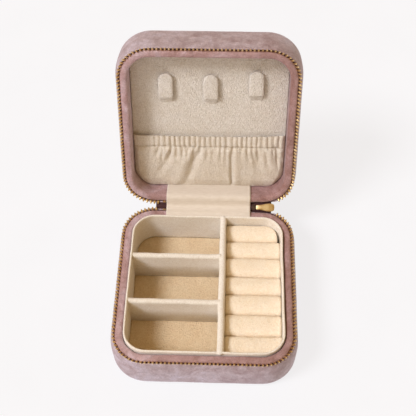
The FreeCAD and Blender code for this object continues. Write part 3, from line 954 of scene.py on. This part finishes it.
def make_roll(number):
    """Suede cover, and the foam inside it."""
    points, count = roll_points(number, 0.0, 49)
    points = ripple(points, 0.26 * MM, 6 * MM, 20 + number)
    cover = make_piece("ring_roll_cover_%d" % number, points, bar_faces(49, count))
    subdivide(cover)
    finish_piece(cover, suede_roll, "base", suede_slot, "ring_roll_%d" % number)
    points, count = roll_points(number, 1.0 * MM, 25)
    core = make_piece("ring_roll_core_%d" % number, points, bar_faces(25, count))
    finish_piece(core, foam, "base", "foam", "ring_foam_%d" % number)


for number in range(1, 8):
    make_roll(number)

# ---- lid panel -------------------------------------------
# A board wrapped in cream suede closes the back of the lid's recess, over thin foam, so
# its face is very slightly full.
# Darker tone of the same cream microsuede on the panel and the hooks: painted shade.
panel_tones_painted_shade = (0.66, 0.595, 0.52), (0.74, 0.68, 0.615), (0.81, 0.76, 0.70)
suede_panel = microsuede("suede_panel", *panel_tones_painted_shade, 1.2, 1.05)
panel_inset = 6.8 * MM


def make_panel():
    front, back = lid_recess, lid_recess + 1.2 * MM
    profile = [(panel_inset, back, s) for s in (0.0, 0.5, 1.0)]
    profile += arc((panel_inset + 0.5 * MM, front + 0.5 * MM), 0.5 * MM, 180, 90, 5)
    for share in (1.0, 0.97, 0.9, 0.78, 0.62, 0.45, 0.28, 0.12, 0.0):
        fullness = 0.35 * MM * (1 - share ** 6)
        profile.append((panel_inset + 0.7 * MM, front - fullness, share))
    flat = ripple(swept(profile, np.array), 0.10 * MM, 9 * MM, 30)
    piece = ring_piece("panel_wrap", flat, in_lid)
    finish_piece(piece, suede_panel, "lid", suede_slot, "lid_panel")


make_panel()

# ---- necklace hooks --------------------------------------
# Three stiffened suede tabs. Each comes out of a slit in the panel at its lower end and
# stands free above it, so a chain slips down behind.
hook_width, hook_length, hook_skin = 8.2 * MM, 18.0 * MM, 1.4 * MM
hook_top = -29.8 * MM
hook_lift, hook_lean = 2.75 * MM, 0.4 * MM
hook_sides = 20
hook_places = [(-23.7 * MM, 0.0), (0.9 * MM, 0.5 * MM), (25.6 * MM, -1.9 * MM)]


def smooth_step(value):
    value = np.clip(value, 0, 1)
    return value * value * (3 - 2 * value)


def make_hook(number, x, shift):
    half, skin = hook_width / 2, hook_skin / 2
    rows = []
    for s in np.concatenate([[0, 0.008, 0.03, 0.07, 0.12, 0.18], np.linspace(0.25, 1.0, 22)]):
        along = s * (hook_length + 0.4 * MM)
        dive = smooth_step((s - 0.72) / 0.28)
        width = math.sqrt(max(0.0, half ** 2 - max(0.0, half - along) ** 2)) * (1 - 0.10 * dive)
        depth = lid_recess - (hook_lift - hook_lean * (1 - s)) * (1 - dive) + 0.1 * MM * dive
        y = hook_top + shift + along
        thickness = skin * min(1.0, 0.35 + 3.0 * math.sqrt(s))
        for a in np.linspace(0, 2 * math.pi, hook_sides, endpoint=False):
            across = width * math.copysign(abs(math.cos(a)) ** 0.45, math.cos(a))
            up = thickness * math.copysign(abs(math.sin(a)) ** 0.7, math.sin(a))
            droop = 0.5 * MM * (across / half) ** 4 * (1 - s)
            rows.append((x + across, y, depth + up + droop))
    points = ripple(rows, 0.12 * MM, 3 * MM, 40 + number)
    faces = bar_faces(len(rows) // hook_sides, hook_sides)
    piece = make_piece("hook_tab_%d" % number, in_lid(points), faces)
    subdivide(piece)
    finish_piece(piece, suede_panel, "lid", suede_slot, "necklace_hook_%d" % number)


for number, (x, shift) in enumerate(hook_places, 1):
    make_hook(number, x, shift)

# ---- gathered pocket -------------------------------------
# Suede cloth cut wider than the lid, gathered on an elastic in a sewn casing along its
# top, and sewn to the panel round its sides and rounded lower corners.
pocket_top, pocket_bottom = 8.6 * MM, 42.7 * MM
pocket_half = 42.8 * MM
pocket_corner = 12.2 * MM
casing_height = 7.0 * MM
pocket_skin = 0.4 * MM
gather_pitch = 2.9 * MM
# Darker tone of the same cream microsuede on the pocket: painted shade.
pocket_tones_painted_shade = (0.67, 0.585, 0.485), (0.75, 0.67, 0.575), (0.82, 0.75, 0.66)
suede_pocket = microsuede("suede_pocket", *pocket_tones_painted_shade, 1.2)
elastic_knit = woven("elastic_knit", (0.60, 0.54, 0.45), (0.82, 0.76, 0.66), 1.1 * MM)


def valley(x, y, top_x, bottom_x, start, end, depth, width, spread):
    """A fold between two heights: a groove that widens by spread and fades at its ends."""
    s = np.clip((y - start) / (end - start), 0, 1)
    inside = 1.0 if start <= y <= end else 0.0
    line = top_x + (bottom_x - top_x) * s
    fade = min(1.0, s * 8) * (1 - smooth_step((s - 0.45) / 0.55))
    return -depth * fade * inside * np.exp(-((x - line) / (width * (1 + (spread - 1) * s))) ** 2)


# Each large fold in mm: x at its top and foot, how far above the seam it starts, where it
# ends, depth (a ridge where below zero), width, and how much it widens.
large_folds = [
    (12.4, 14.2, 0, 62, 1.7, 0.95, 1.0),
    (-5.4, -15.5, 0, 50, 1.5, 1.9, 1.7),
    (-20, -33, 0, 42, 0.8, 1.3, 2.0),
    (37.5, 40.5, 2, 33, 1.2, 0.8, 1.0),
    (27, 31, 0, 40, 0.7, 1.4, 2.4),
    (15.2, 16.8, 0, 60, -0.6, 1.5, 1.8),
    (-10.5, -22.5, 0, 50, -0.7, 2.2, 1.8),
]


def make_pocket():
    """Cloth laid out as its distance from the panel: gathers above the seam, folds below."""
    columns, rows = 331, 121
    u = np.linspace(-1, 1, columns)
    seam = pocket_top + casing_height
    points = np.zeros((rows, columns, 3))
    folds = []
    for n in range(21):
        start = (-33 + 3.6 * n + rng.uniform(-0.9, 0.9)) * MM
        length = rng.uniform(7, 19) * MM
        lean = (start / (40 * MM)) * 0.22 + rng.uniform(-0.10, 0.10)
        depth, width = rng.uniform(0.6, 1.15) * MM, rng.uniform(0.6, 1.0) * MM
        folds.append((start, start + lean * length, seam, seam + length, depth, width, 2.2))
    for r, t in enumerate(np.linspace(0, 1, rows)):
        y = pocket_top + (pocket_bottom - pocket_top) * t
        below = max(0.0, y - (pocket_bottom - pocket_corner))
        half = pocket_half - (pocket_corner - math.sqrt(max(0.0, pocket_corner ** 2 - below ** 2)))
        x = u * half
        points[r, :, 0] = x
        points[r, :, 1] = y
        from_edge = np.minimum((half - np.abs(x)) * 2.2, (pocket_bottom - y) * 1.1)
        rise = np.sqrt(np.clip((from_edge + 0.5 * MM) / ((2.2 if y < seam else 6) * MM), 0, 1))
        wander = np.array([noise.noise(Vector((v / (9 * MM), 3.7, 0))) for v in x])
        height = np.array([0.8 + 0.5 * noise.noise(Vector((v / (3.1 * MM), 9.1, 0))) for v in x])
        wave = (0.5 + 0.5 * np.cos(2 * np.pi * (x + wander * 1.1 * MM) / gather_pitch)) ** 0.75
        quiet = 0.12 + 0.88 * smooth_step((x + 36 * MM) / (9 * MM))
        under = max(0.0, y - seam)
        strength = 0.95 if under == 0 else 0.85 * math.exp(-under / (3.4 * MM))
        at_seam = math.exp(-((y - seam) / (0.55 * MM)) ** 2)
        gathers = wave * height * quiet * strength * (1 - 0.55 * at_seam) * 1.0 * MM
        settled = 1 - 0.55 * smooth_step((under - 4 * MM) / (20 * MM))
        puff = 1.15 * MM * smooth_step(under / (3.0 * MM)) * settled
        shape = 2.25 * MM * rise + (puff - 0.75 * MM * at_seam) * rise
        creases = sum(valley(x, y, *fold) for fold in folds) * (0.25 + 0.75 * quiet)
        for top_x, foot_x, above, end, depth, width, spread in large_folds:
            sizes = (top_x * MM, foot_x * MM, seam - above * MM, end * MM, depth * MM, width * MM)
            creases += valley(x, y, *sizes, spread)
        inward = smooth_step(from_edge / (2.6 * MM))
        lift = 0.3 * MM + shape + (gathers + creases) * inward
        points[r, :, 2] = lid_recess - np.clip(lift, 0.25 * MM, 5.2 * MM)
        frill = math.exp(-((y - pocket_top) / (0.8 * MM)) ** 2)
        points[r, :, 1] += frill * (0.35 * MM * (1 - wave * quiet) + 0.3 * MM * (1 - u ** 2))
        points[r, :, 1] -= frill * 0.9 * MM * np.clip(u, -0.1, 1) ** 2
    points = ripple(points, 0.30 * MM, 5.5 * MM, 50)
    hem = points[:1].repeat(3, axis=0)
    for i, (along, back) in enumerate([(0.9, 1.0), (0.25, 0.75), (0.0, 0.35)]):
        hem[i, :, 2] += back * MM
        hem[i, :, 1] += along * MM
    points = np.concatenate([hem, points])
    piece = make_piece("pocket_cloth", in_lid(points), grid_faces(rows + 3, columns))
    thick = piece.modifiers.new("cloth_thickness", "SOLIDIFY")
    thick.thickness = pocket_skin
    thick.offset = 0.0
    finish_piece(piece, suede_pocket, "lid", suede_slot, "pocket")


def make_elastic():
    """Knitted elastic inside the casing, drawn back to the panel at both ends."""
    rows = []
    for x in np.linspace(-41.0 * MM, 41.0 * MM, 83):
        off = 0.35 * MM + 1.15 * MM * math.sqrt(max(0.0, 1 - (x / (42.5 * MM)) ** 8))
        for y, depth in ((1.2, 0.0), (6.2, 0.0), (6.2, 0.4), (1.2, 0.4)):
            rows.append((x, pocket_top + y * MM, lid_recess - off + depth * MM))
    piece = make_piece("elastic_band", in_lid(rows), bar_faces(len(rows) // 4, 4))
    finish_piece(piece, elastic_knit, "lid", "elastic", "pocket_elastic")


make_pocket()
make_elastic()

# ---- inner hinge strap -----------------------------------
# A flat cream strap glued over both rims. On the case it goes taut when the lid is open and stops it,
# and folds into the gap as the lid shuts; here it is built only as it lies open.
strap_half = 24.3 * MM
strap_skin = 0.45 * MM
strap_sag = 1.6 * MM


def brushed_band(name, dark, light):
    """Woven band with a dull brushed face: long faint streaks across its width."""
    material, tree, surface = shader(name, 0.88, Sheen_Weight=0.2, Sheen_Roughness=0.5)
    set_inputs(surface, {"Specular IOR Level": 0.15})
    place = add_node(tree, "UVMap").outputs["UV"]
    stretched = add_node(tree, "Mapping", Scale=(0.22, 1.0, 1.0))
    tree.links.new(place, stretched.inputs["Vector"])
    streaks = cloud(tree, stretched.outputs["Vector"], 0.9 * MM, 4.0, 0.3)
    weft = add_node(tree, "TexWave", Scale=1.0 / (2.6 * MM), Distortion=1.2, Detail=2.0)
    weft.bands_direction = "Y"
    tree.links.new(place, weft.inputs["Vector"])
    paint(tree, surface, ramp(tree, streaks, [(0.3, dark), (0.7, light)]))
    bump(tree, surface, [(streaks, 0.3, 0.2 * MM), (weft.outputs["Fac"], 0.25, 0.08 * MM)])
    return material


strap_band = brushed_band("strap_band", (0.67, 0.59, 0.50), (0.74, 0.665, 0.58))


def strap_line():
    """The strap's underside, from the tray over both rims to the lid's panel."""
    front, back = rim_inset + rim_width, rim_inset
    base_side = [(front + 0.2 * MM, 1.9 * MM), (front - 0.15 * MM, 0.75 * MM), (front - 0.9 * MM, 0.22 * MM)]
    base_side += [(front - 2.0 * MM, 0.02 * MM), (back + 1.2 * MM, 0.05 * MM), (back + 0.3 * MM, 0.25 * MM)]
    near = [in_base([0, case_half - inset, depth]) for inset, depth in base_side]
    lid_side = [(front + 0.16 * MM, d * MM) for d in (12.2, 10.0, 7.5, 5.0, 3.0)] + base_side[1:]
    far = [in_lid([0, case_half - inset, depth]) for inset, depth in reversed(lid_side)]
    gap = in_base([0, case_half - back, 0.3 * MM]) * 0.5 + far[0] * 0.5
    gap += at_zip_end([0, 0, strap_sag]) - at_zip_end([0, 0, 0.0])
    return near + [gap] + far


def resampled(line, count):
    """The line smoothed through its points and spaced evenly."""
    line = np.array(line)
    for _ in range(3):
        cut = [line[0]]
        for a, b in zip(line[:-1], line[1:]):
            cut += [a * 0.75 + b * 0.25, a * 0.25 + b * 0.75]
        line = np.array(cut + [line[-1]])
    lengths = lengths_along(line)
    even = np.linspace(0, lengths[-1], count)
    return np.column_stack([np.interp(even, lengths, line[:, k]) for k in range(3)]), lengths[-1]


def ribbon(line, across, above, below):
    """Band along a line, between two heights over it, from edge to edge."""
    direction = np.gradient(line, axis=0)
    direction /= np.linalg.norm(direction, axis=1)[:, None]
    normal = np.column_stack([np.zeros(len(line)), -direction[:, 2], direction[:, 1]])
    faces = []
    for height in (above, below):
        middle = line + normal * np.reshape(height, (-1, 1))
        face = np.repeat(middle[:, None, :], len(across), axis=1)
        face[:, :, 0] = across
        faces.append(face)
    return np.concatenate([faces[0], faces[1][:, ::-1]], axis=1)


def make_strap():
    line, length = resampled(strap_line(), 70)
    rows = ribbon(line, np.linspace(-strap_half, strap_half, 61), strap_skin, 0.0)
    rows = ripple(rows, 0.12 * MM, 9 * MM, 60)
    count = rows.shape[1]
    faces = bar_faces(len(line), count)
    piece = make_piece("strap", rows, faces)
    seam_map = piece.data.uv_layers.new(name="UVMap")
    for loop in piece.data.loops:
        row, column = divmod(loop.vertex_index, count)
        seam_map.data[loop.index].uv = (rows[row, column, 0], length * row / (len(line) - 1))
    finish_piece(piece, strap_band, None, suede_slot, "hinge_strap")
    edge = [0, case_half - rim_inset - 0.2 * MM, 0.1 * MM]
    start, end = in_base(edge), in_lid(edge)
    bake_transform(piece)


make_strap()

# ---- outer spine -----------------------------------------
# Between the two ends of the zip the covers are one cloth, which folds in at the hinge
# line when the lid is open and lies flat across the back when it is shut. It is built
# here only as it lies open.


def make_spine():
    skin = 0.6 * MM
    outer = [(0.0, 4.2), (-0.05, 3.0), (0.0, 2.0), (0.05, 1.2), (0.0, 0.5)]
    near = [in_base([0, case_half - a * MM, d * MM]) for a, d in outer]
    far = [in_lid([0, case_half - a * MM, d * MM]) for a, d in reversed(outer)]
    line, length = resampled(near + far, 40)
    across = np.linspace(-strap_half - 0.4 * MM, strap_half + 0.2 * MM, 41)
    ends = np.sin(np.linspace(0.0, math.pi, len(line))) ** 0.25
    rows = ribbon(line, across, -0.05 * MM - 0.42 * MM * ends, skin * 0.6)
    rows = ripple(rows, 0.1 * MM, 9 * MM, 70)
    piece = make_piece("spine", rows, bar_faces(*rows.shape[:2]))
    finish_piece(piece, velvet_pink, None, velvet_slot, "spine_velvet")
    edge = [0, case_half, 1.6 * MM]
    start, end = in_base(edge), in_lid(edge)
    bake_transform(piece)


make_spine()

# ---- floor, light and camera -----------------------------
# A pale floor and soft studio light, strongest from the upper left, with the camera high
# in front of the case.
scene = bpy.context.scene
scene.view_settings.view_transform = "Standard"


def make_floor():
    """Dark grey acrylic sheet with a strong pale glow standing in for light from below, so shadows on it
    stay soft.
    """
    material, tree, surface = shader("floor_pale", 0.9)
    place = object_place(tree)
    grain = cloud(tree, place, 40 * MM, 2.0)
    paint(tree, surface, ramp(tree, grain, [(0.3, (0.14, 0.14, 0.142)), (0.7, (0.15, 0.15, 0.152))]))
    # The glow keeps the floor pale and also lights the case from below.
    set_inputs(surface, {"Specular IOR Level": 0.0, "Emission Strength": 0.80})
    surface.inputs["Emission Color"].default_value = (0.985, 0.98, 1.0, 1.0)
    size = 4.0
    corners = [(-size, -size, 0), (size, -size, 0), (size, size, 0), (-size, size, 0)]
    floor = make_piece("floor", np.array(corners, float) - [0, 0, 0.0002], [(0, 1, 2, 3)])
    floor.data.materials.append(material)


def sun(name, direction, spread, strength, colour):
    lamp = bpy.data.lights.new(name, "SUN")
    lamp.angle = math.radians(spread)
    lamp.energy = strength
    lamp.color = colour
    holder = bpy.data.objects.new(name, lamp)
    scene.collection.objects.link(holder)
    holder.rotation_euler = Vector(direction).to_track_quat("Z", "Y").to_euler()


make_floor()
world = bpy.data.worlds.new("studio")
world.use_nodes = True
set_inputs(world.node_tree.nodes["Background"], {"Color": (1.0, 0.69, 0.33, 1.0), "Strength": 0.49})
scene.world = world
sun("key", (-0.59, -0.27, 0.77), 19, 2.45, (0.95, 0.985, 1.06))
sun("fill", (-0.36, -0.70, 0.62), 40, 0.38, (0.84, 0.94, 1.08))

camera_azimuth = math.radians(2.57)
camera_elevation = math.radians(55.55)
camera_roll = math.radians(-1.0)
camera_distance = 472.8 * MM
camera_aside, camera_up = -0.27 * MM, -0.98 * MM
lens, sensor_width = 70.24327, 36.0

camera = bpy.data.cameras.new("camera")
camera.sensor_width = sensor_width
camera.lens = lens
camera.clip_start = 0.01
camera_holder = bpy.data.objects.new("camera", camera)
scene.collection.objects.link(camera_holder)
right = Vector((math.cos(camera_azimuth), math.sin(camera_azimuth), 0))
level = Vector((math.sin(camera_azimuth), -math.cos(camera_azimuth), 0))
back = level * math.cos(camera_elevation) + Vector((0, 0, math.sin(camera_elevation)))
up = back.cross(right)
turned_right = right * math.cos(camera_roll) + up * math.sin(camera_roll)
turned_up = back.cross(turned_right)
place = Vector((0, hinge_y, zip_z)) + turned_right * camera_aside + turned_up * camera_up
place += back * camera_distance
axes = Matrix((turned_right, turned_up, back)).transposed().to_4x4()
camera_holder.matrix_world = Matrix.Translation(place) @ axes
scene.camera = camera_holder
